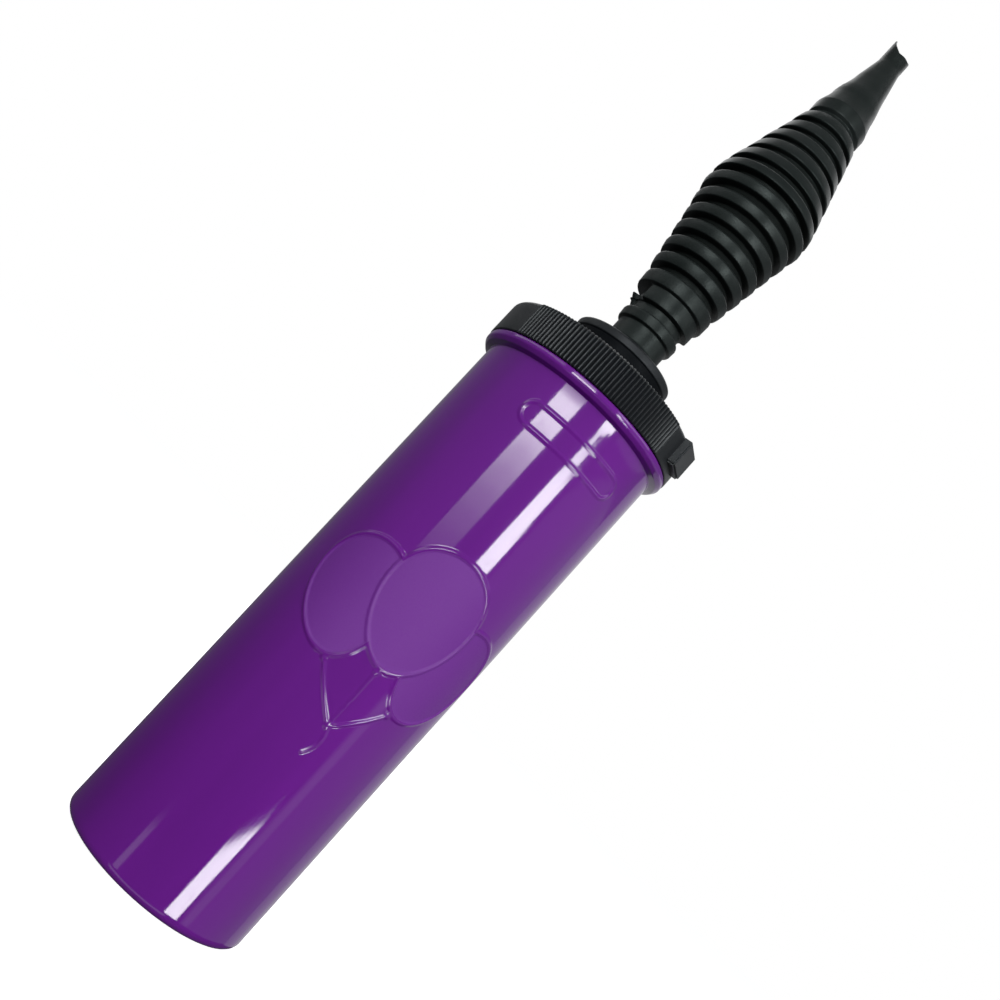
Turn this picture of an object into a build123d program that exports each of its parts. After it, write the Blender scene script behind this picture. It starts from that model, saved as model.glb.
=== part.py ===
"""Double-action hand pump for balloons: a barrel, a twist-off cap, a hollow rod with a two-way piston,
and a ribbed nozzle. Z runs up the pump's axis from the underside of the barrel, with the rod pushed home."""
from build123d import *
from math import cos, radians, sin, tan
import os

# ---- driving dimensions, mm ----
# barrel
FOOT_R = 25.0            # outside radius at the foot
DRAFT_DEG = 0.24         # the wall leans out this much towards the mouth
BORE_R = 23.4            # straight bore
FOOT_RING_R = 21.2       # inside radius of the ring that the pump stands on
FLOOR_LOW = 2.0
FLOOR_TOP = 4.4
FLANGE_R = 28.1
FLANGE_TOP = 144.2       # the cap sits here
NECK_R = 25.2
MOUTH_TOP = 150.4
EAR_R = 26.8             # bayonet ears on the neck
EAR_LOW, EAR_HIGH = 147.6, 149.6
EAR_HALF = 22.0          # half the arc of an ear, degrees
TAB_HALF = 24.0          # half the arc of a cap tab, degrees
STOP_HALF = 2.0          # half the arc of the stop beside each tab, degrees

# cap, guide bush and rod seal
CAP_R = 28.65
CAP_TOP = 153.6
CAP_PLATE = 2.4
CAP_VENTS, CAP_VENT_PITCH_R, CAP_VENT_R = 8, 19.0, 1.2
LUG_ANGLES = (-38.0, 142.0)   # directions of the two finger lugs, degrees from +X
LUG_FACE = 30.0          # a lug's outer face, from the axis
LUG_WIDE = 9.0
LUG_LOW, LUG_HIGH = 146.2, 153.5
BUSH_R = 12.9
BUSH_LOW = 145.0
BUSH_FLANGE_R = 16.0
ROD_SEAL_R = 11.7
ROD_SEAL_LOW = 150.2
RETAINER_T = 1.1

# rod and collar
ROD_R = 9.5
ROD_BORE_R = 7.9
SOCKET_TOP = 158.2       # the rod tube ends here, inside the collar
COLLAR_R = 14.5
COLLAR_TOP = 162.7

# piston
PISTON_LOW = 9.0
PISTON_R = 22.8
PISTON_WALL_R = 18.4     # inside radius of the piston's cup
PISTON_FLOOR = 2.0
PISTON_SPLIT = 24.0      # where the piston's two halves meet
PLATE_TOP = 26.0
HUB_R = 12.4
HUB_LOW, HUB_TOP = 18.4, 29.0
BUFFER_T = 2.0
SEAL_INNER_R = 20.0
SEAL_LOW, SEAL_HIGH = 11.6, 15.4
SCREW_COUNT, SCREW_PITCH_R = 4, 20.5
SCREW_R, SCREW_HEAD_R, SCREW_HEAD_T, SCREW_LENGTH = 0.9, 1.6, 1.2, 8.6

# valves: flat rubber discs that lift off a ring of ports
VALVE_T = 1.0
VALVE_LIFT = 1.1
STUD_R = 2.0             # stud through the middle of a disc
BASE_PORTS, BASE_PORT_PITCH_R, BASE_PORT_R = 6, 6.4, 1.5
BASE_DISC_R = 9.2
LOWER_PORTS, LOWER_PORT_PITCH_R, LOWER_PORT_R = 6, 7.2, 1.6
LOWER_DISC_R = 10.4
UPPER_PORTS, UPPER_PORT_PITCH_R, UPPER_PORT_R = 8, 15.4, 1.3
CAP_RING_R = 21.4

# gaps
SEAL_GAP = 0.05          # running clearance of the piston seal in the bore
GUIDE_GAP = 0.08         # running clearance of the rod in its bush
LOOSE = 0.3              # radial gap round a loose disc
SKIN = 0.1               # flat gap between pieces that lie on each other

# nozzle
NOZZLE_TOP = 274.4
SPIGOT_R = 6.7
SPIGOT_LOW = 148.0
SPIGOT_BORE_R = 5.2
O_RING_R = 0.6           # half the thickness of the ring on the spigot
O_RING_HEIGHT = 152.0
NOZZLE_NECK_R = 7.3
NECK_STEPS = (           # (radius, height) up the neck: a ring, a gap, then two steps outwards
    (NOZZLE_NECK_R, 169.9), (8.35, 170.2), (8.35, 172.8), (NOZZLE_NECK_R, 173.1),
    (NOZZLE_NECK_R, 175.8), (9.1, 176.0), (9.1, 179.7), (10.2, 180.0), (10.4, 183.8), (8.8, 184.1),
)
RIB_COUNT = 12
FIRST_RIB = 187.4
RIB_PITCH = 4.93
RIB_WIDE = 2.8
RIB_DEPTH = 1.7
BULB_R = 15.6
BULB_WALL = 1.8
TOP_COLLAR_R = 7.9
TOP_COLLAR_LOW, TOP_COLLAR_HIGH = 245.4, 248.9
TIP_R = 3.3
TIP_STRAIGHT_LOW = 269.6
TIP_BORE_R = 1.9

UPRIGHT = (Align.CENTER, Align.CENTER, Align.MIN)


# ---- helpers ----
def turned(*outline):
    """Revolve an outline of (radius, height) points; a third number rounds that corner."""
    face = make_face(Polyline(*[(point[0], point[1]) for point in outline], close=True))
    for radius, height, *rounding in outline:
        if rounding:
            corner = face.vertices().sort_by_distance((radius, height, 0))[0]
            face = fillet(corner, rounding[0])
    return revolve(Plane.XZ * face, Axis.Z)


def tube(outer, inner, low, high):
    """A plain ring or tube between two heights."""
    ring = Pos(0, 0, low) * Cylinder(outer, high - low, align=UPRIGHT)
    return ring - Pos(0, 0, low) * Cylinder(inner, high - low, align=UPRIGHT)


def round_places(count, pitch_r, start=0.0):
    """Evenly spaced places on a pitch circle."""
    angles = [radians(start + 360 * i / count) for i in range(count)]
    return [Pos(pitch_r * cos(angle), pitch_r * sin(angle), 0) for angle in angles]


def hole_circle(count, pitch_r, hole_r, low, high, start=0.0):
    """Cutters for round holes on a pitch circle."""
    hole = Pos(0, 0, low) * Cylinder(hole_r, high - low, align=UPRIGHT)
    return [place * hole for place in round_places(count, pitch_r, start)]


def sector(outer, inner, low, high, middle_deg, half_deg):
    """A piece of a tube, centred on a direction from +X."""
    reach = 2 * outer
    angles = [radians(middle_deg + side * half_deg) for side in (-1, 0, 1)]
    corners = [(0, 0)] + [(reach * cos(angle), reach * sin(angle)) for angle in angles]
    wedge = Pos(0, 0, low) * extrude(make_face(Polyline(*corners, close=True)), high - low)
    return tube(outer, inner, low, high) & wedge


def barrel_r(height):
    """Outside radius of the barrel's wall."""
    return FOOT_R + height * tan(radians(DRAFT_DEG))


# ---- barrel and its inlet valve ----
def make_barrel():
    """Cup with a foot ring, a flared flange and a bayonet neck."""
    flare_low = FLANGE_TOP - 2.7
    shell = turned(
        (FOOT_RING_R, 0), (FOOT_R, 0, 1.8),
        (barrel_r(flare_low), flare_low, 0.4), (FLANGE_R - 0.6, flare_low + 1.0, 0.3),
        (FLANGE_R, flare_low + 1.9, 0.4), (FLANGE_R, FLANGE_TOP),
        (NECK_R, FLANGE_TOP), (NECK_R, MOUTH_TOP), (BORE_R, MOUTH_TOP),
        (BORE_R, FLOOR_TOP, 0.8), (0, FLOOR_TOP), (0, FLOOR_LOW), (FOOT_RING_R, FLOOR_LOW),
    )
    overlap_r = NECK_R - 0.5
    for middle in (0, 180):
        shell += sector(EAR_R, overlap_r, EAR_LOW, EAR_HIGH, middle, EAR_HALF)
        stop_middle = middle - TAB_HALF - STOP_HALF - 0.5
        shell += sector(EAR_R, overlap_r, FLANGE_TOP, EAR_LOW - LOOSE - SKIN, stop_middle, STOP_HALF)
    shell -= hole_circle(BASE_PORTS, BASE_PORT_PITCH_R, BASE_PORT_R, FLOOR_LOW, FLOOR_TOP)
    shell -= Pos(0, 0, FLOOR_LOW) * Cylinder(STUD_R, FLOOR_TOP - FLOOR_LOW, align=UPRIGHT)
    return shell


def make_base_inlet_stud():
    """Push-in rivet that holds the inlet disc on the barrel's floor."""
    foot_r, foot_low = 3.2, FLOOR_LOW - 0.7
    head_r, head_low = 4.2, FLOOR_TOP + VALVE_T + VALVE_LIFT + 2 * SKIN
    head_top = head_low + 1.1
    return turned(
        (0, foot_low), (foot_r, foot_low, 0.3), (foot_r, FLOOR_LOW), (STUD_R, FLOOR_LOW),
        (STUD_R, head_low), (head_r, head_low), (head_r, head_top, 0.7), (0, head_top),
    )


def make_base_inlet_disc():
    low = FLOOR_TOP + SKIN
    return tube(BASE_DISC_R, STUD_R + LOOSE, low, low + VALVE_T)


# ---- cap ----
def make_lug():
    """Finger lug: a block on the cap's side, facing +X."""
    root = CAP_R - 1.4
    block = Pos(root, 0, LUG_LOW) * Box(
        LUG_FACE - root, LUG_WIDE, LUG_HIGH - LUG_LOW, align=(Align.MIN, Align.CENTER, Align.MIN)
    )
    return fillet(block.edges().group_by(Axis.X)[-1], 0.5)


def make_twist_cap():
    """Cap with two finger lugs outside and two bayonet tabs inside, which lie under the barrel's ears."""
    plate_low = CAP_TOP - CAP_PLATE
    skirt_low = FLANGE_TOP + SKIN
    skirt_r = EAR_R + LOOSE
    shell = turned(
        (skirt_r, skirt_low), (CAP_R, skirt_low, 0.4), (CAP_R, CAP_TOP, 1.1),
        (BUSH_R, CAP_TOP), (BUSH_R, plate_low), (skirt_r, plate_low),
    )
    for middle in (0, 180):
        shell += sector(skirt_r + 0.5, NECK_R + LOOSE, skirt_low, EAR_LOW - LOOSE, middle, TAB_HALF)
    for angle in LUG_ANGLES:
        shell += Rot(0, 0, angle) * make_lug()
    shell -= hole_circle(CAP_VENTS, CAP_VENT_PITCH_R, CAP_VENT_R, plate_low, CAP_TOP, start=22.5)
    return shell


def make_cap_gasket():
    return tube(NECK_R, BORE_R - 0.4, MOUTH_TOP + SKIN, CAP_TOP - CAP_PLATE)


def make_guide_bush():
    """Sleeve pressed into the cap. Its flange carries the cap's inlet ring and stops the piston."""
    bore_r = ROD_R + GUIDE_GAP
    flange_top = cap_ring_low() - SKIN
    return turned(
        (bore_r, BUSH_LOW), (BUSH_FLANGE_R, BUSH_LOW, 0.6), (BUSH_FLANGE_R, flange_top),
        (BUSH_R, flange_top), (BUSH_R, CAP_TOP), (ROD_SEAL_R, CAP_TOP),
        (ROD_SEAL_R, ROD_SEAL_LOW), (bore_r, ROD_SEAL_LOW),
    )


def cap_ring_low():
    """Underside of the cap's inlet ring, hanging open on the bush."""
    return CAP_TOP - CAP_PLATE - VALVE_T - VALVE_LIFT - SKIN


def make_cap_inlet_ring():
    return tube(CAP_RING_R, BUSH_R + LOOSE, cap_ring_low(), cap_ring_low() + VALVE_T)


def make_rod_seal():
    bore_r, top = ROD_R + GUIDE_GAP, CAP_TOP - RETAINER_T
    return turned(
        (bore_r, ROD_SEAL_LOW), (ROD_SEAL_R, ROD_SEAL_LOW), (ROD_SEAL_R, top),
        (bore_r + 1.0, top, 0.4), (bore_r, ROD_SEAL_LOW + 1.2),
    )


def make_seal_retainer():
    return tube(ROD_SEAL_R, ROD_R + LOOSE, CAP_TOP - RETAINER_T, CAP_TOP)


# ---- rod and collar ----
def make_rod_tube():
    return tube(ROD_R, ROD_BORE_R, HUB_LOW + 1.2, SOCKET_TOP)


def make_end_collar():
    """Collar on the rod's outer end, with a sleeve inside the rod that takes the nozzle's spigot."""
    low = CAP_TOP + SKIN
    sleeve_low = SPIGOT_LOW - 2.0
    return turned(
        (ROD_R, low), (COLLAR_R, low, 0.5), (COLLAR_R, COLLAR_TOP, 0.6), (SPIGOT_R, COLLAR_TOP),
        (SPIGOT_R, sleeve_low), (ROD_BORE_R, sleeve_low), (ROD_BORE_R, SOCKET_TOP), (ROD_R, SOCKET_TOP),
    )


# ---- piston ----
def outlet_clip_low():
    """Underside of the clip that limits the lift of the piston's lower disc."""
    return PISTON_LOW + PISTON_FLOOR + VALVE_T + VALVE_LIFT + 2 * SKIN


def hanger_top():
    """Top of the snap ring that carries the piston's upper valve ring."""
    return PISTON_SPLIT - VALVE_T - VALVE_LIFT - 2 * SKIN


def make_piston_base():
    """Lower half of the piston: a cup with ports, a stud for their disc, and the seal's groove."""
    floor_top = PISTON_LOW + PISTON_FLOOR
    stud_top = outlet_clip_low() + 1.4
    groove_r = SEAL_INNER_R - LOOSE
    cup = turned(
        (0, PISTON_LOW), (PISTON_R, PISTON_LOW, 0.5), (PISTON_R, SEAL_LOW - SKIN),
        (groove_r, SEAL_LOW - SKIN), (groove_r, SEAL_HIGH + SKIN), (PISTON_R, SEAL_HIGH + SKIN),
        (PISTON_R, PISTON_SPLIT), (PISTON_WALL_R, PISTON_SPLIT), (PISTON_WALL_R, floor_top, 0.6),
        (STUD_R, floor_top), (STUD_R, stud_top), (0, stud_top),
    )
    screw_depth = SCREW_LENGTH - (PLATE_TOP - PISTON_SPLIT) + 0.4
    cup -= hole_circle(LOWER_PORTS, LOWER_PORT_PITCH_R, LOWER_PORT_R, PISTON_LOW, floor_top)
    cup -= hole_circle(SCREW_COUNT, SCREW_PITCH_R, SCREW_R, PISTON_SPLIT - screw_depth, PISTON_SPLIT, 45)
    return cup


def make_lower_outlet_disc():
    low = PISTON_LOW + PISTON_FLOOR + SKIN
    return tube(LOWER_DISC_R, STUD_R + LOOSE, low, low + VALVE_T)


def make_lower_outlet_clip():
    return tube(2 * STUD_R, STUD_R, outlet_clip_low(), outlet_clip_low() + 0.8)


def make_piston_top():
    """Upper half of the piston: plate, ports, and the hub that holds the rod."""
    seat = HUB_LOW + 1.2
    head_low = PLATE_TOP - SCREW_HEAD_T
    plate = turned(
        (HUB_R, PISTON_SPLIT), (PISTON_R, PISTON_SPLIT), (PISTON_R, PLATE_TOP, 0.5),
        (HUB_R, PLATE_TOP, 0.8), (HUB_R, HUB_TOP), (ROD_R, HUB_TOP), (ROD_R, seat),
        (ROD_BORE_R, seat), (ROD_BORE_R, HUB_LOW), (HUB_R, HUB_LOW),
    )
    plate -= hole_circle(UPPER_PORTS, UPPER_PORT_PITCH_R, UPPER_PORT_R, PISTON_SPLIT, PLATE_TOP)
    plate -= hole_circle(SCREW_COUNT, SCREW_PITCH_R, SCREW_R, PISTON_SPLIT, PLATE_TOP, 45)
    plate -= hole_circle(SCREW_COUNT, SCREW_PITCH_R, SCREW_HEAD_R, head_low, PLATE_TOP, 45)
    return plate


def make_upper_outlet_ring():
    low = hanger_top() + SKIN
    return tube(PISTON_WALL_R - 0.5, HUB_R + LOOSE, low, low + VALVE_T)


def make_upper_outlet_hanger():
    return tube(HUB_R + 1.6, HUB_R, hanger_top() - 0.9, hanger_top())


def make_piston_screws():
    """The screws that join the piston's halves, with crossed slots."""
    tip, head_low = PLATE_TOP - SCREW_LENGTH, PLATE_TOP - SCREW_HEAD_T
    screw = turned(
        (0, tip), (SCREW_R, tip, 0.4), (SCREW_R, head_low), (SCREW_HEAD_R, head_low),
        (SCREW_HEAD_R, PLATE_TOP, 0.4), (0, PLATE_TOP),
    )
    screw -= Pos(0, 0, PLATE_TOP) * (Box(2.0, 0.5, 1.0) + Box(0.5, 2.0, 1.0))
    return Compound(children=[place * screw for place in round_places(SCREW_COUNT, SCREW_PITCH_R, 45)])


def make_piston_seal():
    """Rubber ring with two lips."""
    outer, middle = BORE_R - SEAL_GAP, (SEAL_LOW + SEAL_HIGH) / 2
    return turned(
        (SEAL_INNER_R, SEAL_LOW), (outer - 0.5, SEAL_LOW), (outer, SEAL_LOW + 0.5), (outer, SEAL_LOW + 1.1),
        (outer - 0.9, middle, 0.5), (outer, SEAL_HIGH - 1.1), (outer, SEAL_HIGH - 0.5),
        (outer - 0.5, SEAL_HIGH), (SEAL_INNER_R, SEAL_HIGH),
    )


def make_stop_buffer():
    """Rubber washer that meets the guide bush at the end of the stroke."""
    top = HUB_TOP + BUFFER_T
    return turned((ROD_R, HUB_TOP), (HUB_R, HUB_TOP), (HUB_R, top, 0.6), (ROD_R, top, 0.6))


# ---- nozzle ----
def rib_r(height):
    """Outside radius of the ribs: a long lower flank, a level crown and a steeper upper flank."""
    lower_flank = 10.3 + 0.175 * (height - 183.0)
    upper_flank = 14.25 - 0.267 * (height - 222.0)
    return min(lower_flank, upper_flank, BULB_R)


def rib_points():
    """Outline of the ribs, whose faces follow the nozzle's swell."""
    points = []
    for i in range(RIB_COUNT):
        height = FIRST_RIB + i * RIB_PITCH
        root_r = rib_r(height) - RIB_DEPTH
        low, high = height - RIB_WIDE / 2, height + RIB_WIDE / 2
        points += [(root_r, low - 0.2), (rib_r(low), low), (rib_r(high), high), (root_r, high + 0.2)]
    return points


def make_nozzle():
    """Hollow ribbed nozzle: spigot, neck, ribbed bulb and a long tip."""
    tip_foot = (TOP_COLLAR_R - 0.3, TOP_COLLAR_HIGH + 0.5)
    bulb_bore_r = BULB_R - RIB_DEPTH - BULB_WALL
    flank = Polyline(
        (SPIGOT_R, SPIGOT_LOW), (SPIGOT_R, COLLAR_TOP), (8.2, COLLAR_TOP), (8.2, COLLAR_TOP + 1.2),
        (NOZZLE_NECK_R, COLLAR_TOP + 2.6), *NECK_STEPS, *rib_points(),
        (TOP_COLLAR_R - 0.7, TOP_COLLAR_LOW - 0.5), (TOP_COLLAR_R, TOP_COLLAR_LOW),
        (TOP_COLLAR_R, TOP_COLLAR_HIGH), tip_foot,
    )
    tip = ThreePointArc(tip_foot, (5.33, 259.6), (TIP_R, TIP_STRAIGHT_LOW))
    bore = Polyline(
        (TIP_R, TIP_STRAIGHT_LOW), (TIP_R, NOZZLE_TOP - 0.3), (TIP_R - 0.3, NOZZLE_TOP),
        (TIP_BORE_R, NOZZLE_TOP), (TIP_BORE_R, 256.0), (4.2, 247.0), (bulb_bore_r, 216.5),
        (bulb_bore_r, 208.5), (SPIGOT_BORE_R, 179.0), (SPIGOT_BORE_R, SPIGOT_LOW), (SPIGOT_R, SPIGOT_LOW),
    )
    body = revolve(Plane.XZ * make_face([*flank.edges(), *tip.edges(), *bore.edges()]), Axis.Z)
    half_groove = O_RING_R + SKIN
    return body - tube(
        SPIGOT_R + 1.0, SPIGOT_R - 2 * O_RING_R, O_RING_HEIGHT - half_groove, O_RING_HEIGHT + half_groove
    )


def make_nozzle_o_ring():
    return Pos(0, 0, O_RING_HEIGHT) * Torus(SPIGOT_R - O_RING_R, O_RING_R)


PARTS = {
    "barrel": make_barrel,
    "base_inlet_stud": make_base_inlet_stud,
    "base_inlet_disc": make_base_inlet_disc,
    "twist_cap": make_twist_cap,
    "cap_gasket": make_cap_gasket,
    "guide_bush": make_guide_bush,
    "cap_inlet_ring": make_cap_inlet_ring,
    "rod_seal": make_rod_seal,
    "seal_retainer": make_seal_retainer,
    "rod_tube": make_rod_tube,
    "end_collar": make_end_collar,
    "piston_base": make_piston_base,
    "lower_outlet_disc": make_lower_outlet_disc,
    "lower_outlet_clip": make_lower_outlet_clip,
    "piston_top": make_piston_top,
    "upper_outlet_ring": make_upper_outlet_ring,
    "upper_outlet_hanger": make_upper_outlet_hanger,
    "piston_screws": make_piston_screws,
    "piston_seal": make_piston_seal,
    "stop_buffer": make_stop_buffer,
    "nozzle": make_nozzle,
    "nozzle_o_ring": make_nozzle_o_ring,
}

os.makedirs("parts", exist_ok=True)
for name, make in PARTS.items():
    piece = make()
    piece.label = name
    export_step(piece, f"parts/{name}.step")
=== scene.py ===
"""Looks for the balloon hand pump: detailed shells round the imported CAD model, materials, light and camera.
Lengths in this script are millimetres in the profiles and turn to metres when a mesh is made."""

from math import acos, cos, pi, radians, sin, tan

import bmesh
import bpy
import numpy as np
from mathutils import Matrix, Vector


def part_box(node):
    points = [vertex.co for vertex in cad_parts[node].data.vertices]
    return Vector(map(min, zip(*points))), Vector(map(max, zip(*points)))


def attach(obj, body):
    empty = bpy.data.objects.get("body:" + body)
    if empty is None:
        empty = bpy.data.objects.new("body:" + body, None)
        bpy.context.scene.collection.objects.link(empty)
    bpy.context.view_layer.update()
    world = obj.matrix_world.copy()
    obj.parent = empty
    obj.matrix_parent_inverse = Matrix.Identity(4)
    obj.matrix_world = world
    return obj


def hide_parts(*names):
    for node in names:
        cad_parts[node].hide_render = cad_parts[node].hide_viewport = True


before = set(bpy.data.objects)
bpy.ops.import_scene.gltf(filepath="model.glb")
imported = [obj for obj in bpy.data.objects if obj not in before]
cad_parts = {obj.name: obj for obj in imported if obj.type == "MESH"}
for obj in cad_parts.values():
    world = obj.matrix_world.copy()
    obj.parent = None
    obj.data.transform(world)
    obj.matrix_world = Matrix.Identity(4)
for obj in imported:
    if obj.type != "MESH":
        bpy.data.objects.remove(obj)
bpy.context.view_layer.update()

MM = 0.001
SHARP = 32               # edges that turn by more than this many degrees stay sharp
rng = np.random.default_rng(11)


# ---- places and sizes, read from the frame ----
def top(node):
    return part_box(node)[1].z / MM


def low(node):
    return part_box(node)[0].z / MM


def half_width(node):
    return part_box(node)[1].y / MM


CAP_TOP, CAP_LOW, CAP_R = top("twist_cap"), low("twist_cap"), half_width("twist_cap")
COLLAR_TOP, COLLAR_R = top("end_collar"), half_width("end_collar")
COLLAR_LOW = CAP_TOP + 0.1
MOUTH_TOP = top("barrel")
FLANGE_TOP, FLANGE_R = CAP_LOW - 0.1, half_width("barrel")
TIP_TOP, BULB_R = top("nozzle"), half_width("nozzle")
SPIGOT_LOW = low("nozzle")
BUSH_R = 12.9
ROD_R, ROD_BORE_R = 9.5, 7.9
SPIGOT_R = 6.7           # outside of the nozzle's spigot, which sits in the collar
FOOT_R, DRAFT = 25.0, tan(radians(0.24))
BORE_R, NECK_R = 23.4, 25.2                      # the barrel's bore, and the outside of its neck in the cap
FLOOR_R, FLOOR_LOW, FLOOR_TOP = 22.0, 2.0, 4.4   # the barrel's floor
FRONT = -90.0            # direction of the relief's middle, degrees from +X
VIEW_AZIMUTH = -13.0     # the camera's azimuth, degrees; 0 looks along +Y


# ---- mesh making ----
def rounded(outline, steps=5):
    """Outline of (radius, height) points as an array; a third number turns that corner into an arc."""
    path, count = [], len(outline)
    for i, (r, z, *rounding) in enumerate(outline):
        corner = np.array((r, z), float)
        if not rounding:
            path.append(corner)
            continue
        back = np.array(outline[i - 1][:2], float) - corner
        ahead = np.array(outline[(i + 1) % count][:2], float) - corner
        back, ahead = back / np.linalg.norm(back), ahead / np.linalg.norm(ahead)
        half = acos(max(-1.0, min(1.0, float(back @ ahead)))) / 2
        bisector = (back + ahead) / np.linalg.norm(back + ahead)
        centre = corner + bisector * rounding[0] / sin(half)
        start = corner + back * rounding[0] / tan(half) - centre
        end = corner + ahead * rounding[0] / tan(half) - centre
        turn = acos(max(-1.0, min(1.0, float(start @ end) / rounding[0] ** 2)))
        for k in range(steps + 1):
            t = k / steps
            path.append(centre + (sin((1 - t) * turn) * start + sin(t * turn) * end) / sin(turn))
    return np.array(path)


def finer(path, longest):
    """Divide a closed path's long runs. longest gives the longest step allowed at a height."""
    points = []
    for a, b in zip(path, np.vstack([path[1:], path[:1]])):
        steps = max(1, int(np.ceil(np.linalg.norm(b - a) / longest((a[1] + b[1]) / 2))))
        points += [a + (b - a) * k / steps for k in range(steps)]
    return np.array(points)


def even_angles(count):
    return np.linspace(0, 2 * pi, count, endpoint=False)


def skin(name, points, material, body, attributes=(), sharp=SHARP):
    """Closed mesh from an array of points (rows, columns, 3) in mm. Both rows and columns wrap round.
    attributes are pairs of a name and an array of one value for each point."""
    rows, columns = points.shape[:2]
    faces = []
    index = np.arange(rows * columns).reshape(rows, columns)
    for here, there in zip(index, np.roll(index, -1, axis=0)):
        faces.append(np.stack([here, np.roll(here, -1), np.roll(there, -1), there], axis=1))
    mesh = bpy.data.meshes.new(name)
    mesh.from_pydata((points.reshape(-1, 3) * MM).tolist(), [], np.concatenate(faces).tolist())
    for label, values in attributes:
        layer = mesh.attributes.new(label, "FLOAT", "POINT")
        layer.data.foreach_set("value", values.reshape(-1).astype(np.float32))
    return add_piece(name, mesh, material, body, sharp)


def add_piece(name, mesh, material, body, sharp=SHARP):
    """Link a mesh as a piece that rides on a body, shaded smooth with its sharp edges kept."""
    work = bmesh.new()
    work.from_mesh(mesh)
    bmesh.ops.recalc_face_normals(work, faces=work.faces)
    work.to_mesh(mesh)
    work.free()
    mesh.shade_smooth()
    mesh.set_sharp_from_angle(angle=radians(sharp))
    mesh.materials.append(material)
    piece = bpy.data.objects.new(name, mesh)
    bpy.context.scene.collection.objects.link(piece)
    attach(piece, body)
    return piece


def spin(path, angles, reach=None, lift=None):
    """Turn a path round the axis. reach and lift are arrays added to the radius and the height."""
    radius = path[:, 0][:, None] + (0 if reach is None else reach)
    height = path[:, 1][:, None] + (0 if lift is None else lift) + 0 * angles[None, :]
    radius = radius + 0 * angles[None, :]
    return np.stack([radius * np.cos(angles), radius * np.sin(angles), height], axis=2)


def smoothstep(x, low_edge, high_edge):
    t = np.clip((x - low_edge) / (high_edge - low_edge), 0, 1)
    return t * t * (3 - 2 * t)


def turn_from(angles, middle_deg):
    """Signed angle in degrees from a direction, for an array of angles in radians."""
    return (np.degrees(angles) - middle_deg + 180) % 360 - 180


# ---- materials ----
def node(tree, kind, **inputs):
    made = tree.nodes.new(kind)
    for name, value in inputs.items():
        made.inputs[name.replace("_", " ")].default_value = value
    return made


def noise(tree, scale, detail=3.0, roughness=0.55, stretch=(1, 1, 1)):
    """Noise in the object's own space; scale is in waves per metre."""
    place = tree.nodes.new("ShaderNodeTexCoord")
    mapping = node(tree, "ShaderNodeMapping", Scale=stretch)
    texture = node(tree, "ShaderNodeTexNoise", Scale=scale, Detail=detail, Roughness=roughness)
    tree.links.new(place.outputs["Object"], mapping.inputs["Vector"])
    tree.links.new(mapping.outputs["Vector"], texture.inputs["Vector"])
    return texture.outputs["Fac"]


def spread(tree, source, from_low, from_high, to_low, to_high):
    """Stretch a socket's range from (from_low, from_high) to (to_low, to_high)."""
    ends = {"From_Min": from_low, "From_Max": from_high, "To_Min": to_low, "To_Max": to_high}
    ranged = node(tree, "ShaderNodeMapRange", **ends)
    tree.links.new(source, ranged.inputs["Value"])
    return ranged.outputs["Result"]


def mix_colour(tree, factor, first, second):
    """Mix two colours, each a socket or three numbers, by a socket."""
    mixed = tree.nodes.new("ShaderNodeMix")
    mixed.data_type = "RGBA"
    tree.links.new(factor, mixed.inputs["Factor"])
    for socket, value in ((mixed.inputs["A"], first), (mixed.inputs["B"], second)):
        if isinstance(value, bpy.types.NodeSocket):
            tree.links.new(value, socket)
        else:
            socket.default_value = (*value, 1)
    return mixed.outputs["Result"]


def multiply(tree, first, second):
    product = tree.nodes.new("ShaderNodeMath")
    product.operation = "MULTIPLY"
    tree.links.new(first, product.inputs[0])
    tree.links.new(second, product.inputs[1])
    return product.outputs["Value"]


def bump(tree, height, distance, under=None):
    """Bump normal of a depth in metres, on top of another normal if one is given."""
    made = node(tree, "ShaderNodeBump", Strength=1.0, Distance=distance)
    tree.links.new(height, made.inputs["Height"])
    if under is not None:
        tree.links.new(under, made.inputs["Normal"])
    return made.outputs["Normal"]


def new_material(name):
    material = bpy.data.materials.new(name)
    material.use_nodes = True
    return material, material.node_tree, material.node_tree.nodes["Principled BSDF"]


def plastic(name, dark, light, rough, grain, grain_depth, specular=0.5, tint=(1, 1, 1)):
    """Moulded plastic: cloudy colour between two shades, uneven roughness and a fine spark-eroded grain.
    rough is (smoothest, roughest), grain is in waves per metre and grain_depth in metres."""
    material, tree, shader = new_material(name)
    cloud = spread(tree, noise(tree, 60, 4), 0.35, 0.65, 0, 1)
    tree.links.new(mix_colour(tree, cloud, dark, light), shader.inputs["Base Color"])
    patches = noise(tree, 240, 5, 0.6)
    tree.links.new(spread(tree, patches, 0.3, 0.7, *rough), shader.inputs["Roughness"])
    tree.links.new(bump(tree, noise(tree, grain, 2), grain_depth), shader.inputs["Normal"])
    shader.inputs["IOR"].default_value = 1.49
    shader.inputs["Specular IOR Level"].default_value = specular
    shader.inputs["Specular Tint"].default_value = (*tint, 1)
    return material


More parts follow.
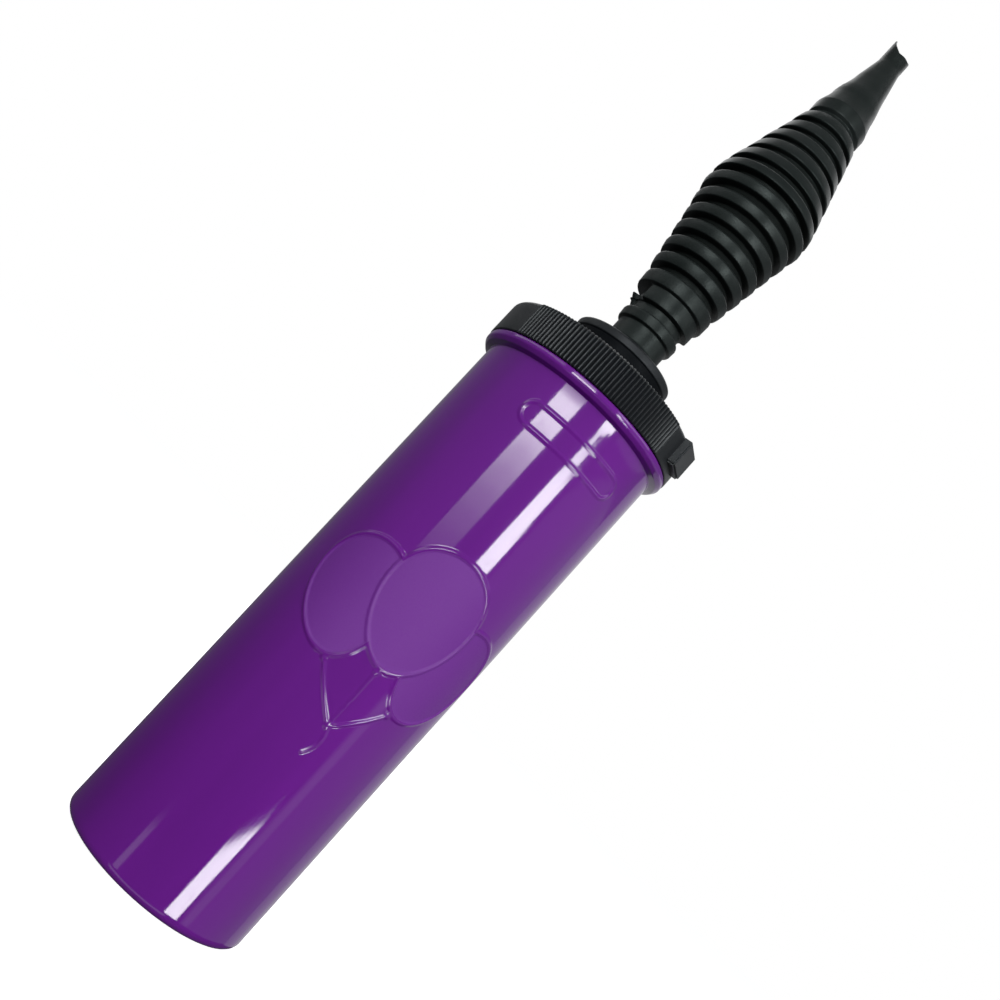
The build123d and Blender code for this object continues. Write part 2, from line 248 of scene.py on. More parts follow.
def barrel_plastic():
    """Gloss purple polypropylene. The moulded fields inside the relief are satin, by the mesh's own mask."""
    material, tree, shader = new_material("barrel_gloss")
    mask = tree.nodes.new("ShaderNodeAttribute")
    mask.attribute_name = "satin"
    satin = mask.outputs["Fac"]
    streaks = spread(tree, noise(tree, 55, 3, 0.5, (1, 1, 0.12)), 0.35, 0.65, 0, 1)
    body = mix_colour(tree, streaks, (0.124, 0.0098, 0.228), (0.146, 0.0118, 0.264))
    tree.links.new(mix_colour(tree, satin, body, (0.152, 0.0165, 0.280)), shader.inputs["Base Color"])
    handling = spread(tree, noise(tree, 900, 6, 0.7, (1, 1, 0.3)), 0.55, 0.75, 0.075, 0.16)
    field = spread(tree, noise(tree, 2500, 2), 0.3, 0.7, 0.60, 0.70)
    gloss = tree.nodes.new("ShaderNodeMix")
    tree.links.new(satin, gloss.inputs["Factor"])
    tree.links.new(handling, gloss.inputs["A"])
    tree.links.new(field, gloss.inputs["B"])
    tree.links.new(gloss.outputs["Result"], shader.inputs["Roughness"])
    wave = bump(tree, noise(tree, 70, 2, 0.4, (1, 1, 0.25)), 0.00010)
    grain = multiply(tree, noise(tree, 5200, 2), satin)
    tree.links.new(bump(tree, grain, 0.00002, under=wave), shader.inputs["Normal"])
    shader.inputs["IOR"].default_value = 1.49
    return material


def masked_plastic(name, dark, light, rough, grain, gloss, painted_shade_colour, tint):
    """Satin black plastic with painted shade in its grooves and recesses, by the mesh's own mask: there the
    colour turns to a shade colour and the specular level drops, which stands in for the shade that falls
    there.
    gloss is the specular level of (crest, painted-shade groove)."""
    material = plastic(name, dark, light, rough, grain, 0.00002, gloss[0], tint)
    tree = material.node_tree
    mask = tree.nodes.new("ShaderNodeAttribute")
    mask.attribute_name = "painted_shade"
    shader = tree.nodes["Principled BSDF"]
    body = shader.inputs["Base Color"].links[0].from_socket
    # painted shade: the mask darkens the colour and lowers the specular level in grooves and recesses
    tree.links.new(mix_colour(tree, mask.outputs["Fac"], body, painted_shade_colour), shader.inputs["Base Color"])
    tree.links.new(spread(tree, mask.outputs["Fac"], 0, 1, *gloss), shader.inputs["Specular IOR Level"])
    return material


def rubber(name, colour, dust):
    """Dull rubber with patches of a paler bloom."""
    material, tree, shader = new_material(name)
    patches = spread(tree, noise(tree, 500, 5), 0.45, 0.75, 0, 1)
    tree.links.new(mix_colour(tree, patches, colour, dust), shader.inputs["Base Color"])
    tree.links.new(spread(tree, noise(tree, 1500, 3), 0.3, 0.7, 0.55, 0.75), shader.inputs["Roughness"])
    tree.links.new(bump(tree, noise(tree, 4000, 2), 0.00002), shader.inputs["Normal"])
    return material


def steel(name):
    """Drawn steel wire and strip with fine scratches along it."""
    material, tree, shader = new_material(name)
    scratches = noise(tree, 4000, 3, 0.6, (1, 1, 0.05))
    shades = mix_colour(tree, spread(tree, scratches, 0.3, 0.7, 0, 1), (0.42, 0.42, 0.41), (0.62, 0.61, 0.59))
    tree.links.new(shades, shader.inputs["Base Color"])
    tree.links.new(spread(tree, scratches, 0.3, 0.7, 0.22, 0.4), shader.inputs["Roughness"])
    shader.inputs["Metallic"].default_value = 1.0
    return material


BARREL = barrel_plastic()
# In these three, the first colour on each call's second line is painted shade, used where the mesh's mask is
# set, and the 0.05 in the gloss pair is the painted lower specular level there
CAP = masked_plastic(
    "cap_satin", (0.0080, 0.0096, 0.0116), (0.0104, 0.0122, 0.0144), (0.36, 0.46), 3600, (0.62, 0.05),
    (0.0078, 0.0092, 0.0110), (0.92, 0.98, 1),
)
COLLAR = masked_plastic(
    "collar_satin", (0.0056, 0.0068, 0.0084), (0.0078, 0.0092, 0.0110), (0.42, 0.52), 3600, (0.34, 0.05),
    (0.0030, 0.0038, 0.0050), (0.9, 0.96, 1),
)
NOZZLE = masked_plastic(
    "nozzle_satin", (0.0085, 0.0115, 0.0112), (0.0125, 0.0155, 0.0150), (0.32, 0.42), 2600, (0.20, 0.05),
    (0.0120, 0.0150, 0.0143), (0.86, 1, 0.97),
)
ROD = plastic("rod_gloss", (0.006, 0.007, 0.009), (0.009, 0.010, 0.013), (0.12, 0.24), 900, 0.000010)
NATURAL = plastic("natural_plastic", (0.50, 0.48, 0.42), (0.60, 0.585, 0.53), (0.30, 0.42), 1800, 0.000015)
VALVE = rubber("red_valve_rubber", (0.22, 0.045, 0.022), (0.30, 0.085, 0.05))
SEAL = rubber("black_seal_rubber", (0.010, 0.010, 0.011), (0.030, 0.030, 0.030))
STEEL = steel("spring_steel")


# ---- barrel ----
def ridge(distance, half_wide):
    """Cross-section of a raised line: 1 on its middle, 0 past its half width, round between."""
    t = np.clip(1 - (distance / half_wide) ** 2, 0, 1)
    return t * t * (3 - 2 * t)


LINE_HALF, LINE_HIGH = 0.62, 0.34    # a raised line's half width and height
KNOT_HALF = 1.1
FIELD_DIP = 0.16         # how far the satin fields lie under the wall
RELIEF_HALF = 34.0       # the relief stays within this distance of its middle, along the wall
MOTIF_HEIGHT = 72.0      # the balloons' middle, up the barrel
# three balloons: middle across and up, half width, half length, lean in degrees; drawn back to front
BALLOONS = ((-15.0, 3.4, 10.9, 13.9, 21.0), (15.2, 2.6, 10.7, 13.5, -22.0), (0.4, 10.4, 11.9, 14.8, 1.0))
GATHER = (0.6, -20.5)    # where the strings meet
PLATE_MIDDLE = 131.0     # the blank plate's middle, up the barrel
PLATE_HALF_WIDE, PLATE_HALF_HIGH = 15.0, 2.9


def balloon_shape(across, up, balloon):
    """Distance outside a balloon's outline (negative inside), and its knot's place."""
    middle_x, middle_z, half_w, half_l, lean = balloon
    c, s = cos(radians(lean)), sin(radians(lean))
    x, z = across - middle_x, up - middle_z
    side, along = c * x + s * z, -s * x + c * z
    width = half_w * (1 + 0.17 * np.clip(along / half_l, -1.2, 1.2))
    size = np.hypot(side / width, along / half_l)
    knot = (middle_x + s * (half_l + 0.9), middle_z - c * (half_l + 0.9))
    return (size - 1) * min(half_w, half_l) * 1.08, knot


def curve_distance(across, up, points):
    """Distance to a smooth curve through three points."""
    t = np.linspace(0, 1, 60)[:, None]
    a, b, c = (np.array(p, float) for p in points)
    line = (1 - t) ** 2 * a + 2 * t * (1 - t) * b + t * t * c
    gap = np.full(across.shape, 1e9)
    for x, z in line:
        gap = np.minimum(gap, np.hypot(across - x, up - z))
    return gap


def relief(across, height):
    """Height of the barrel's raised relief in mm, and the mask of its satin fields."""
    up = height - MOTIF_HEIGHT
    raised, satin = np.zeros(across.shape), np.zeros(across.shape)
    near = np.abs(across) < RELIEF_HALF
    for balloon in BALLOONS:
        knot = balloon_shape(across, up, balloon)[1]
        bend = (0.56 * knot[0] + 0.44 * GATHER[0], 0.44 * knot[1] + 0.56 * GATHER[1])
        gap = curve_distance(across, up, (knot, bend, GATHER))
        raised = np.maximum(raised, 0.8 * LINE_HIGH * ridge(gap, 0.75 * LINE_HALF))
        raised = np.maximum(raised, LINE_HIGH * ridge(np.hypot(across - knot[0], up - knot[1]), KNOT_HALF))
    tail = curve_distance(across, up, (GATHER, (3.2, -24.0), (0.2, -28.0)))
    raised = np.maximum(raised, 0.8 * LINE_HIGH * ridge(tail, 0.75 * LINE_HALF))
    raised = np.maximum(raised, LINE_HIGH * ridge(np.hypot(across - GATHER[0], up - GATHER[1]), KNOT_HALF))
    for balloon in BALLOONS:
        gap = balloon_shape(across, up, balloon)[0]
        inside = smoothstep(-gap, 0.1, 0.7)
        raised = raised * (1 - inside) - FIELD_DIP * smoothstep(-gap, 0.2, 2.4) * (inside > 0)
        satin = np.maximum(satin * (1 - inside), inside)
        raised = np.maximum(raised, LINE_HIGH * ridge(gap, LINE_HALF))
    past_end = np.maximum(np.abs(across) - PLATE_HALF_WIDE + PLATE_HALF_HIGH, 0)
    plate = np.hypot(past_end, height - PLATE_MIDDLE) - PLATE_HALF_HIGH
    raised = np.maximum(raised, 0.7 * LINE_HIGH * ridge(plate, 0.9 * LINE_HALF))
    return raised * near, satin * near


def barrel_rows():
    """Heights of the outer wall's rows: close together where the relief is."""
    coarse_step, fine_step, wall_top = 2.4, 0.28, 138.4
    balloon_band, plate_band = (40.5, 99.0), (125.4, 134.8)
    heights, z = [], coarse_step
    while z < wall_top:
        heights.append(z)
        fine = any(bottom < z < top_edge for bottom, top_edge in (balloon_band, plate_band))
        z += fine_step if fine else coarse_step
    return heights


def barrel_angles():
    """Column angles of the barrel: close together round the relief."""
    fine = np.radians(FRONT + np.arange(-67, 67.01, 0.62))
    coarse = np.radians(FRONT + np.linspace(67, 293, 76))[1:-1]
    return np.concatenate([fine, coarse])


def make_barrel():
    """Outer wall with the relief, flared flange, bayonet neck, bore and foot ring, as one closed skin."""
    wall = [(FOOT_R + DRAFT * z, z) for z in barrel_rows()]
    flare_low = FLANGE_TOP - 2.7
    outline = [
        (21.2, FLOOR_LOW, 0.3), (21.2, 0.0, 0.35), (FOOT_R, 0.0, 1.8), *wall,
        (FOOT_R + DRAFT * flare_low, flare_low - 0.1, 0.2), (FLANGE_R - 0.85, flare_low + 0.3, 0.7),
        (FLANGE_R, flare_low + 1.25, 0.8), (FLANGE_R, FLANGE_TOP, 0.4), (NECK_R, FLANGE_TOP, 0.2),
        (NECK_R, MOUTH_TOP, 0.3), (BORE_R, MOUTH_TOP, 0.3), (BORE_R, FLOOR_TOP, 0.6),
        (FLOOR_R, FLOOR_TOP), (FLOOR_R, FLOOR_LOW),
    ]
    path, angles = rounded(outline), barrel_angles()
    outer = (path[:, 0] > BORE_R + 1) & (path[:, 1] > 1.4) & (path[:, 1] < FLANGE_TOP - 5)
    wall_r = 25.3            # at the relief's height
    across = np.radians(turn_from(angles, FRONT))[None, :] * wall_r + 0 * path[:, :1]
    raised, satin = relief(across, path[:, 1][:, None] + 0 * across)
    raised[~outer], satin[~outer] = 0, 0
    shell = skin(
        "barrel_shell", spin(path, angles, raised), BARREL, "barrel",
        attributes=[("satin", satin)], sharp=40,
    )
    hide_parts("barrel")


def cut(piece, cutters):
    """Subtract cutter objects from a piece and delete them."""
    for cutter in cutters:
        modifier = piece.modifiers.new("cut", "BOOLEAN")
        modifier.operation, modifier.solver, modifier.object = "DIFFERENCE", "EXACT", cutter
    bpy.context.view_layer.update()
    shape = bpy.data.meshes.new_from_object(piece.evaluated_get(bpy.context.evaluated_depsgraph_get()))
    piece.modifiers.clear()
    shape.name = piece.data.name
    piece.data = shape
    shape.shade_smooth()
    shape.set_sharp_from_angle(angle=radians(SHARP))
    for cutter in cutters:
        bpy.data.objects.remove(cutter)


def round_cutter(x, y, radius, z_low, z_high):
    work, size = bmesh.new(), radius * MM
    bmesh.ops.create_cone(
        work, cap_ends=True, segments=32, radius1=size, radius2=size, depth=(z_high - z_low) * MM
    )
    bmesh.ops.translate(work, verts=work.verts, vec=Vector((x, y, (z_low + z_high) / 2)) * MM)
    mesh = bpy.data.meshes.new("cutter")
    work.to_mesh(mesh)
    work.free()
    made = bpy.data.objects.new("cutter", mesh)
    bpy.context.scene.collection.objects.link(made)
    return made


def port_cutters(count, pitch_r, radius, z_low, z_high, start=0.0):
    angles = [radians(start + 360 * k / count) for k in range(count)]
    return [round_cutter(pitch_r * cos(a), pitch_r * sin(a), radius, z_low, z_high) for a in angles]


def make_barrel_floor():
    """The barrel's floor with its ring of inlet ports and the hole for the rivet."""
    hole_r = 2.0
    path = rounded([
        (hole_r, FLOOR_LOW, 0.2), (FLOOR_R, FLOOR_LOW), (FLOOR_R, FLOOR_TOP), (hole_r, FLOOR_TOP, 0.2),
    ])
    floor = skin("barrel_floor", spin(path, even_angles(96)), BARREL, "barrel")
    cut(floor, port_cutters(6, 6.4, 1.5, FLOOR_LOW - 1, FLOOR_TOP + 1))


# ---- cap ----
RIBS_PER_TURN = 168
RIB_ZONES = (-106.0, 74.0)   # middles of the two ribbed grips, degrees from +X
RIB_ZONE_HALF = 49.0
RIB_HIGH = 0.64
PLAIN_SUNK = 0.40            # the plain parts of the side lie this far under the ribs' crests
PLATE_THICK = 2.4            # the cap's top
LUG_ANGLES, LUG_FACE, LUG_WIDE, LUG_LOW, LUG_HIGH = (-38.0, 142.0), 30.0, 9.0, 146.2, 153.5


def cap_angles():
    """Column angles: ten to a rib in the ribbed grips, wider apart elsewhere."""
    step = 360 / RIBS_PER_TURN / 10
    angles = []
    for middle, following in zip(RIB_ZONES, (RIB_ZONES[1], RIB_ZONES[0] + 360)):
        end = middle + RIB_ZONE_HALF + 1
        angles += list(np.arange(middle - RIB_ZONE_HALF - 1, end, step))
        plain = following - RIB_ZONE_HALF - 1 - end
        angles += list(end + np.arange(1, int(plain / 1.5)) * 1.5)
    return np.radians(np.array(angles))


def make_cap_skirt():
    """Cap's side and rounded top edge, with fine upright ribs in two grips."""
    angles = cap_angles()
    plate_low, inside_r = CAP_TOP - PLATE_THICK, 27.1
    path = finer(rounded([
        (CAP_R, CAP_LOW, 0.35), (CAP_R, CAP_TOP, 1.1), (25.5, CAP_TOP), (25.5, plate_low),
        (inside_r, plate_low), (inside_r, CAP_LOW),
    ]), lambda height: 1.6)
    in_zone = np.zeros(len(angles))
    for middle in RIB_ZONES:
        from_middle = np.abs(turn_from(angles, middle))
        in_zone = np.maximum(in_zone, 1 - smoothstep(from_middle, RIB_ZONE_HALF - 0.6, RIB_ZONE_HALF))
    phase = turn_from(angles, RIB_ZONES[0]) * RIBS_PER_TURN / 360
    crest = (0.5 + 0.5 * np.cos(2 * pi * phase)) ** 1.3
    sunk = in_zone * (1 - crest) * RIB_HIGH + (1 - in_zone) * PLAIN_SUNK
    side = smoothstep(path[:, 0], 26.2, 27.9) * (path[:, 0] > inside_r + 0.05)
    # painted shade: the mask is set in the valleys between the ribs and, at 0.45, on the sunken plain parts
    # of the side, to darken them as if in shade
    painted_shade = side[:, None] * (in_zone * (1 - crest) + (1 - in_zone) * 0.45)[None, :]
    skirt = skin(
        "cap_skirt", spin(path, angles, -side[:, None] * sunk[None, :]), CAP, "cap",
        attributes=[("painted_shade", painted_shade)], sharp=50,
    )
    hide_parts("twist_cap")


def make_cap_plate():
    """Top of the cap with its ring of air vents."""
    plate_low, outside_r = CAP_TOP - PLATE_THICK, 25.6
    path = rounded([
        (BUSH_R, plate_low), (outside_r, plate_low), (outside_r, CAP_TOP), (BUSH_R, CAP_TOP, 0.25),
    ])
    plate = skin("cap_plate", spin(path, even_angles(144)), CAP, "cap")
    cut(plate, port_cutters(8, 19.0, 1.2, CAP_TOP - 4, CAP_TOP + 1, start=22.5))


def make_cap_lugs():
    """Two finger lugs on the cap's side, each a block with soft edges."""
    work, root = bmesh.new(), CAP_R - 1.2
    for angle in LUG_ANGLES:
        made = bmesh.ops.create_cube(work, size=1.0)["verts"]
        bmesh.ops.scale(work, verts=made, vec=Vector((LUG_FACE - root, LUG_WIDE, LUG_HIGH - LUG_LOW)) * MM)
        middle = Vector(((LUG_FACE + root) / 2, 0, (LUG_LOW + LUG_HIGH) / 2))
        bmesh.ops.translate(work, verts=made, vec=middle * MM)
        edges = list({e for v in made for e in v.link_edges})
        outer = [e for e in edges if max(v.co.x for v in e.verts) > (LUG_FACE - 0.1) * MM]
        rounded_part = bmesh.ops.bevel(work, geom=outer, offset=0.45 * MM, segments=4, affect="EDGES")
        whole = {v for f in rounded_part["faces"] for v in f.verts} | {v for v in made if v.is_valid}
        turn = Matrix.Rotation(radians(angle), 3, "Z")
        bmesh.ops.rotate(work, verts=list(whole), cent=(0, 0, 0), matrix=turn)
    mesh = bpy.data.meshes.new("cap_lugs")
    work.to_mesh(mesh)
    work.free()
    add_piece("cap_lugs", mesh, CAP, "cap", 40)


# ---- rod and collar ----
PLUG_LOW, ROD_END = 146.0, 158.2    # the collar's plug reaches down into the rod, whose end it covers


def make_collar():
    """Collar with a rim at its top that stands out a little, over a wall with painted shade: darker colour
    and less gloss below the rim.
    """
    rim_low, wall_r = COLLAR_TOP - 2.2, COLLAR_R - 0.35
    path = rounded([
        (ROD_R, COLLAR_LOW, 0.2), (wall_r, COLLAR_LOW, 0.5), (wall_r, rim_low - 0.3, 0.1),
        (COLLAR_R, rim_low, 0.25), (COLLAR_R, COLLAR_TOP, 0.75), (SPIGOT_R, COLLAR_TOP),
        (SPIGOT_R, PLUG_LOW), (ROD_BORE_R, PLUG_LOW), (ROD_BORE_R, ROD_END), (ROD_R, ROD_END),
    ], 8)
    angles = even_angles(160)
    # painted shade on the whole wall below the rim
    painted_shade = (1 - smoothstep(path[:, 1], rim_low - 0.25, rim_low))[:, None] + 0 * angles[None, :]
    collar = skin(
        "collar_shell", spin(path, angles), COLLAR, "rod", attributes=[("painted_shade", painted_shade)]
    )
    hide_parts("end_collar")


def make_rod():
    z_low, z_high = low("rod_tube"), top("rod_tube")
    outline = [(ROD_BORE_R, z_low), (ROD_R, z_low, 0.3), (ROD_R, z_high, 0.3), (ROD_BORE_R, z_high)]
    path = finer(rounded(outline), lambda height: 12)
    rod = skin("rod_shell", spin(path, even_angles(128)), ROD, "rod")
    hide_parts("rod_tube")


# ---- nozzle ----
STEM_R = 7.3             # the neck between its rings
TIP_R, OUTLET_R = 3.3, 1.9
RIB_COUNT, FIRST_RIB, RIB_PITCH, RIB_DEPTH = 12, 187.4, 4.93, 2.3
DEEP_RIBS = 7            # the ribs from the bottom whose grooves are full depth
FLASH_SIDE = -193.0      # direction of the mould's parting line with the flash, degrees from +X


def rib_r(height):
    """Outside radius of the ribs: a long lower flank, a level crown and a steeper upper flank."""
    return min(10.3 + 0.175 * (height - 183.0), 14.25 - 0.267 * (height - 222.0), BULB_R)


def neck_points():
    """Up the neck from the collar: a flare, a ring, a gap, two steps outwards and the first wide rib."""
    return [
        (SPIGOT_R, COLLAR_TOP - 0.1), (8.2, COLLAR_TOP, 0.2), (8.15, COLLAR_TOP + 1.2, 0.5),
        (STEM_R, COLLAR_TOP + 2.6, 0.9), (STEM_R, 169.9, 0.3), (8.2, 170.2, 0.2), (8.4, 172.8, 0.3),
        (STEM_R, 173.1, 0.2), (STEM_R, 175.4, 0.2), (9.0, 175.6, 0.2), (9.1, 177.0), (9.1, 177.2),
        (9.1, 179.7, 0.1), (10.15, 180.0, 0.25), (10.4, 183.9, 0.5), (8.4, 184.15, 0.3),
    ]


def rib_points():
    """Square ribs with grooves between them, shallower towards the tip."""
    points = []
    for k in range(RIB_COUNT):
        height = FIRST_RIB + k * RIB_PITCH
        half_wide = 1.60 - 0.05 * k if k < DEEP_RIBS else 1.55
        depth = RIB_DEPTH if k < DEEP_RIBS else 0.6 * RIB_DEPTH
        low_z, high_z, root = height - half_wide, height + half_wide, rib_r(height) - depth
        points += [(root, low_z - 0.1, 0.3), (rib_r(low_z), low_z + 0.05, 0.3)]
        points += [(rib_r(high_z), high_z - 0.05, 0.5), (root, high_z + 0.15, 0.3)]
    return points


def tip_points():
    """The tip's slightly hollow cone, as a curve that leaves the collar and meets the straight end."""
    heights = np.linspace(249.8, 269.6, 14)
    t = (heights - 249.8) / 19.8
    radii = 7.6 * (1 - t) ** 2 + 2 * 5.2 * t * (1 - t) + TIP_R * t * t
    return list(zip(radii, heights))


def between(values, low_edge, high_edge, soft=0.12):
    """1 between two edges and 0 outside, with soft sides."""
    above = smoothstep(values, low_edge - soft, low_edge)
    return above * (1 - smoothstep(values, high_edge, high_edge + soft))


def nozzle_path():
    bore_r = BULB_R - RIB_DEPTH - 1.8
    outline = [
        (SPIGOT_R, SPIGOT_LOW, 0.4), *neck_points(), *rib_points(),
        (7.1, 244.9, 0.3), (7.85, 245.6, 0.5), (7.9, 248.9, 0.6), *tip_points(),
        (TIP_R, 272.0), (3.28, TIP_TOP, 0.3), (OUTLET_R, TIP_TOP, 0.2), (OUTLET_R, 256.0, 1.5),
        (4.2, 247.0, 2.0), (bore_r, 216.5, 5.0), (bore_r, 208.5, 5.0), (5.2, 179.0, 4.0),
        (5.2, SPIGOT_LOW, 0.3),
    ]
    return finer(rounded(outline, 4), lambda height: 0.5 if 169 < height < 181 else 1.3)


# The next three change the nozzle's skin in place: reach moves a point outwards and lift moves it up, in mm.
def add_wobble(reach, lift, z, angles, outer):
    """Make each rib a little too high, wide or oval, differently from its neighbours."""
    for k in range(-1, RIB_COUNT):
        near = np.exp(-(((z - FIRST_RIB - k * RIB_PITCH) / 1.9) ** 4)) * (z > 165) * outer
        side, amount, swell = rng.uniform(0, 2 * pi), rng.uniform(0.08, 0.30), rng.uniform(-0.12, 0.06)
        lift += near[:, None] * amount * np.cos(angles - side)[None, :]
        reach += near[:, None] * (swell + 0.06 * np.cos(2 * (angles - side)))[None, :]


def add_neck_flaws(reach, z, flash_turn, outer):
    """Break the neck's step away at the back, and leave a tooth of flash under the gap."""
    step_high, step_low, step_middle, step_wide = 179.75, 175.55, 177.3, 1.78
    missing = smoothstep(flash_turn, -82, -72) * (1 - smoothstep(flash_turn, 34, 41))
    short = smoothstep(flash_turn, -177, -171) * (1 - smoothstep(flash_turn, -82, -72))
    reach -= (step_wide * between(z, step_low, step_high, 0.1) * outer)[:, None] * missing[None, :]
    reach -= (step_wide * between(z, step_low, step_middle, 0.1) * outer)[:, None] * short[None, :]
    tooth = np.exp(-((flash_turn / 9.0) ** 4))
    reach += (between(z, 173.15, 177.05) * 0.52 * (z - 173.1) * outer)[:, None] * tooth[None, :]


def add_tip_flaws(lift, z, radius, angles, flash_turn):
    """Leave a horn of flash on the tip's rim and wear the rim down at the front."""
    rim = smoothstep(z, TIP_TOP - 3.2, TIP_TOP - 0.1) * (radius > OUTLET_R - 0.2)
    horn = np.clip(1 - np.where(flash_turn > 0, flash_turn / 80.0, -flash_turn / 70.0), 0, 1) ** 1.1
    worn = np.exp(-((turn_from(angles, FRONT + VIEW_AZIMUTH) / 70.0) ** 4))
    lift += (rim * smoothstep(radius, OUTLET_R - 0.2, 3.1))[:, None] * 2.9 * horn[None, :]
    lift += rim[:, None] * (0.1 * np.cos(5 * angles) - 1.5 * worn)[None, :]


def make_nozzle():
    """Ribbed nozzle with slightly uneven ribs, parting lines, and flash left at the neck and the tip."""
    path, angles = nozzle_path(), even_angles(224)
    flash_turn, seam_turn = turn_from(angles, FLASH_SIDE), turn_from(angles, FLASH_SIDE + 180)
    radius, z = path[:, 0], path[:, 1]
    outer = (radius > SPIGOT_R - 0.1) | ((z > 249) & (radius > 3.0))
    reach, lift = np.zeros((len(path), len(angles))), np.zeros((len(path), len(angles)))
    add_wobble(reach, lift, z, angles, outer)
    seam = np.exp(-((flash_turn / 1.3) ** 2)) + np.exp(-((seam_turn / 1.3) ** 2))
    reach += 0.08 * seam[None, :] * (outer & (z > COLLAR_TOP + 0.5))[:, None]
    dents = between(z, 251.5, 253.5, 1.5) - 0.8 * between(z, 254.5, 256.5, 1.2)
    dents = dents + 0.7 * between(z, 259, 261, 2.0)
    reach -= 0.20 * (dents * outer)[:, None] * (0.6 + 0.4 * np.cos(angles - 1.9))[None, :]
    add_neck_flaws(reach, z, flash_turn, outer)
    add_tip_flaws(lift, z, radius, angles, flash_turn)
    depth = np.array([rib_r(h) for h in z]) - radius
    # painted shade: the mask is set down in the grooves between the ribs, which then get the material's lower
    # painted specular level
    painted_shade = smoothstep(depth, 0.7, 1.3) * between(z, 184.0, 244.5, 0.3) * outer
    nozzle = skin(
        "nozzle_shell", spin(path, angles, reach, lift), NOZZLE, "rod",
        attributes=[("painted_shade", painted_shade[:, None] + 0 * reach)], sharp=42,
    )
    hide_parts("nozzle")


make_barrel()
make_barrel_floor()
make_cap_skirt()
make_cap_plate()
make_cap_lugs()
make_collar()
make_rod()
make_nozzle()

CAD_MATERIALS = {
    NATURAL: ("base_inlet_stud", "guide_bush", "piston_base", "piston_top"),
    COLLAR: ("seal_retainer",),
    VALVE: ("base_inlet_disc", "cap_inlet_ring", "lower_outlet_disc", "upper_outlet_ring"),
    SEAL: ("cap_gasket", "rod_seal", "piston_seal", "stop_buffer", "nozzle_o_ring"),
    STEEL: ("lower_outlet_clip", "upper_outlet_hanger", "piston_screws"),
}
for material, names in CAD_MATERIALS.items():
    for name in names:
        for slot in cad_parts[name].material_slots:
            slot.material = material


# ---- camera ----
def place_camera():
    """The camera stands beside the pump, looks slightly up and is rolled so that the pump leans right."""
    distance, height, offset = 264.5, 74.5, 1.1
    focal_length, up_tilt, roll = 40.0, 8.83, 42.42
    turn = radians(VIEW_AZIMUTH)
    side, away = Vector((cos(turn), sin(turn), 0)), Vector((sin(turn), -cos(turn), 0))
    camera_data = bpy.data.cameras.new("camera")
    camera_data.lens, camera_data.sensor_width = focal_length, 36.0
    camera = bpy.data.objects.new("camera", camera_data)
    facing = Matrix.Rotation(turn, 4, "Z") @ Matrix.Rotation(radians(90 + up_tilt), 4, "X")
    camera.matrix_world = facing @ Matrix.Rotation(radians(roll), 4, "Z")
    camera.location = (side * offset + away * distance + Vector((0, 0, height))) * MM
    bpy.context.scene.collection.objects.link(camera)
    bpy.context.scene.camera = camera


# ---- light and floor ----
def panel(name, azimuth, heights, width, radiance, distance=1.0, aim=None):
    """Area light of a given radiance on a circle about the pump's axis, facing the axis at its own height or
    at aim. azimuth is counted from the camera's, in degrees; lengths are in metres."""
    turn, (bottom, top_edge) = radians(VIEW_AZIMUTH + azimuth), heights
    light = bpy.data.lights.new(name, "AREA")
    light.shape, light.size, light.size_y = "RECTANGLE", width, top_edge - bottom
    light.energy = radiance * pi * width * (top_edge - bottom)
    lamp = bpy.data.objects.new(name, light)
    middle = (bottom + top_edge) / 2
    place = Vector((sin(turn) * distance, -cos(turn) * distance, middle))
    target = Vector((0, 0, middle if aim is None else aim))
    facing = (target - place).to_track_quat("-Z", "Y").to_matrix().to_4x4()
    lamp.matrix_world = Matrix.Translation(place) @ facing
    lamp.visible_camera = False
    bpy.context.scene.collection.objects.link(lamp)


def strip(name, azimuth, width, edges, radiances):
    """A tall soft strip made of panels on top of each other, brighter or dimmer along its height."""
    for k, radiance in enumerate(radiances):
        panel(f"{name}_{k}", azimuth, (edges[k], edges[k + 1]), width, radiance)


def make_lights():
    strip(
        "strip_left", -11.7, 0.50, (0.14, 0.17, 0.20, 0.23, 0.26, 0.29, 0.32, 0.345, 0.44, 0.70),
        (0.6, 1.0, 1.6, 2.6, 4.2, 6.6, 11.0, 16.0, 3.5),
    )
    strip("strip_right", 38.6, 0.30, (0.17, 0.25), (20.0,))
    strip("strip_right_mid", 37.8, 0.26, (0.25, 0.33), (20.0,))
    strip("strip_right_high", 36.0, 0.165, (0.33, 0.37), (17.0,))
    strip("strip_right_top", 34.5, 0.075, (0.37, 0.44), (14.0,))
    strip("strip_right_end", 40.0, 0.30, (0.53, 0.78), (3.5,))
    strip("strip_right_low", 42.1, 0.28, (-0.32, -0.207), (20.0,))
    for k in range(3):       # three steps that end the low strip in a point
        bottom = -0.207 + 0.011 * k
        strip(f"strip_point_{k}", 44.1 + 2.0 * k, 0.21 - 0.07 * k, (bottom, bottom + 0.011), (20.0,))
    strip("strip_left_low", -31.0, 0.12, (-0.33, -0.24), (1.2,))
    strip("strip_faint", 60.0, 0.15, (-0.33, 0.12), (0.4,))
    panel("side_right", 88, (-0.35, 0.36), 1.4, 0.31)
    panel("side_right_high", 62, (0.48, 0.72), 0.9, 2.0)
    panel("side_left_high", -72, (0.47, 0.70), 1.4, 1.5)
    panel("under_front", 0, (-0.95, -0.50), 1.6, 1.0)
    panel("back_side", 150, (-0.35, 0.42), 1.0, 0.5)
    panel("back_left", -145, (0.7, 1.4), 0.9, 1.5, aim=0.1)
    panel("back_right", 140, (0.9, 1.4), 0.9, 1.3, aim=0.1)
    panel("overhead", 180, (1.2, 1.8), 1.2, 2.5, distance=0.3, aim=0.15)


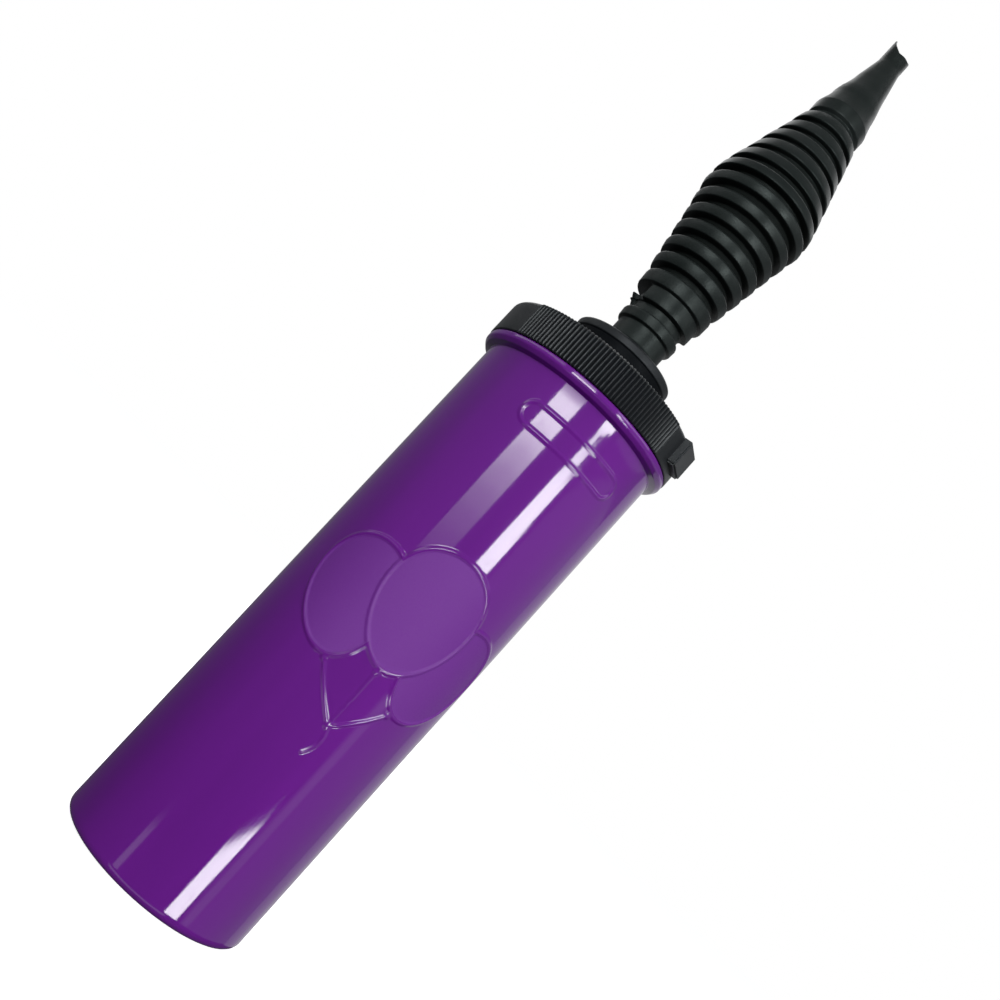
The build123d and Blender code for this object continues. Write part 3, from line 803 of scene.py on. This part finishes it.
def make_world():
    """White to the eye; to the pump, dim above the horizon and dimmer below it, so that dark parts
    keep their depth."""
    world = bpy.data.worlds.new("studio")
    world.use_nodes = True
    tree = world.node_tree
    tree.nodes.clear()
    out = tree.nodes.new("ShaderNodeOutputWorld")
    direction = tree.nodes.new("ShaderNodeTexCoord")
    split = tree.nodes.new("ShaderNodeSeparateXYZ")
    tree.links.new(direction.outputs["Generated"], split.inputs["Vector"])
    seen = node(tree, "ShaderNodeBackground", Color=(1, 1, 1, 1), Strength=1.0)
    lit = node(tree, "ShaderNodeBackground", Color=(0.95, 0.97, 1.0, 1))
    tree.links.new(spread(tree, split.outputs["Z"], -0.22, 0.22, 0.08, 0.24), lit.inputs["Strength"])
    path = tree.nodes.new("ShaderNodeLightPath")
    mixed = tree.nodes.new("ShaderNodeMixShader")
    tree.links.new(path.outputs["Is Camera Ray"], mixed.inputs["Fac"])
    tree.links.new(lit.outputs["Background"], mixed.inputs[1])
    tree.links.new(seen.outputs["Background"], mixed.inputs[2])
    tree.links.new(mixed.outputs["Shader"], out.inputs["Surface"])
    bpy.context.scene.world = world


def make_floor():
    """White paper that takes a faint contact shadow; it neither shows in the gloss nor lights the pump."""
    material, tree, shader = new_material("floor_paper")
    paper = mix_colour(tree, noise(tree, 6, 3), (0.93, 0.93, 0.93), (0.96, 0.96, 0.96))
    tree.links.new(paper, shader.inputs["Base Color"])
    shader.inputs["Roughness"].default_value = 0.9
    shader.inputs["Specular IOR Level"].default_value = 0.0
    shader.inputs["Emission Color"].default_value = (1, 1, 1, 1)
    shader.inputs["Emission Strength"].default_value = 0.78
    half = 6.0               # metres
    corners = [(-half, -half, 0), (half, -half, 0), (half, half, 0), (-half, half, 0)]
    mesh = bpy.data.meshes.new("floor")
    mesh.from_pydata(corners, [], [(0, 1, 2, 3)])
    mesh.materials.append(material)
    floor = bpy.data.objects.new("floor", mesh)
    floor.location.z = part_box("barrel")[0].z
    floor.visible_glossy = False
    floor.visible_diffuse = False
    bpy.context.scene.collection.objects.link(floor)


place_camera()
make_world()
make_floor()
make_lights()

bpy.context.scene.view_settings.view_transform = "Standard"
bpy.context.scene.view_settings.look = "None"
